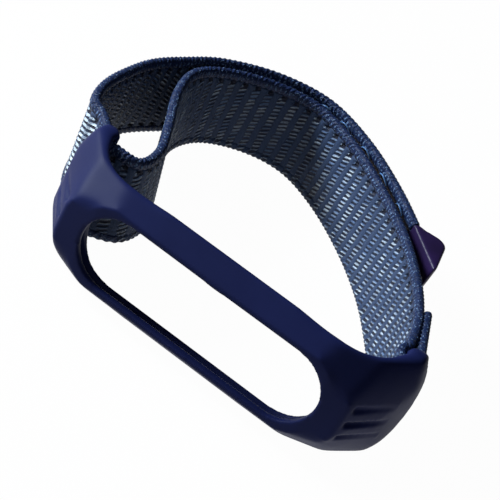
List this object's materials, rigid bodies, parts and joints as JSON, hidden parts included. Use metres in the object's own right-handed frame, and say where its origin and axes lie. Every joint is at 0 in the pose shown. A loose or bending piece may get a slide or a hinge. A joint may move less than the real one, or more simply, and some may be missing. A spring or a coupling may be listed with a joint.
{
  "type": "fitness tracker band",
  "caption": "Wrist band with a moulded capsule frame that grips a tracker and a woven hook-and-loop strap closed through the frame's end bars.",
  "frame": {"origin": "middle of the flat lower side of the frame, on the surface that the band lies on", "axes": "+X along the frame, +Y from the tracker's face to the back of the wrist, +Z along the wrist, up as the band lies on its side"},
  "size_m": [0.0737, 0.0735, 0.0204],
  "materials": {
    "frame_tpu": "smooth matt moulded urethane, dark navy",
    "strap_weave": "ribbed woven nylon, silver blue over navy",
    "selvage_yarn": "dense plain woven nylon edge, navy",
    "hook_tape": "moulded hook tape, near black",
    "sewing_thread": "twisted polyester thread, light blue",
    "tab_gloss": "glossy moulded urethane, dark violet"
  },
  "bodies": {
    "band": {"frame": "frame_tpu", "turnback_web": "strap_weave", "turnback_edge_upper": "selvage_yarn", "turnback_edge_lower": "selvage_yarn", "turnback_stitches": "sewing_thread", "right_loop_web": "strap_weave", "right_loop_edge_upper": "selvage_yarn", "right_loop_edge_lower": "selvage_yarn", "inner_web": "strap_weave", "inner_edge_upper": "selvage_yarn", "inner_edge_lower": "selvage_yarn", "left_loop_web": "strap_weave", "left_loop_edge_upper": "selvage_yarn", "left_loop_edge_lower": "selvage_yarn", "outer_web": "strap_weave", "outer_edge_upper": "selvage_yarn", "outer_edge_lower": "selvage_yarn"},
    "peel_1": {"peel_1_web": "strap_weave", "peel_1_edge_upper": "selvage_yarn", "peel_1_edge_lower": "selvage_yarn", "peel_1_hook_tape": "hook_tape", "peel_1_stitches": "sewing_thread"},
    "peel_2": {"peel_2_web": "strap_weave", "peel_2_edge_upper": "selvage_yarn", "peel_2_edge_lower": "selvage_yarn", "peel_2_hook_tape": "hook_tape", "peel_2_stitches": "sewing_thread"},
    "peel_3": {"peel_3_web": "strap_weave", "peel_3_edge_upper": "selvage_yarn", "peel_3_edge_lower": "selvage_yarn", "peel_3_hook_tape": "hook_tape", "peel_3_stitches": "sewing_thread", "pull_tab": "tab_gloss"}
  },
  "joints": [
    {"name": "peel_start", "type": "hinge", "parent": "band", "child": "peel_1", "pos_m": [-0.01742, 0.06776, 0.00966], "axis": [0.0573, -0.1641, 0.9848], "range_deg": [0, 75]},
    {"name": "peel_middle", "type": "hinge", "parent": "peel_1", "child": "peel_2", "pos_m": [-0.00323, 0.06453, 0.00962], "axis": [0.0547, -0.1641, 0.9849], "range_deg": [0, 50]},
    {"name": "peel_tip", "type": "hinge", "parent": "peel_2", "child": "peel_3", "pos_m": [0.00843, 0.05536, 0.0096], "axis": [0.0547, -0.1641, 0.9849], "range_deg": [0, 50]}
  ]
}
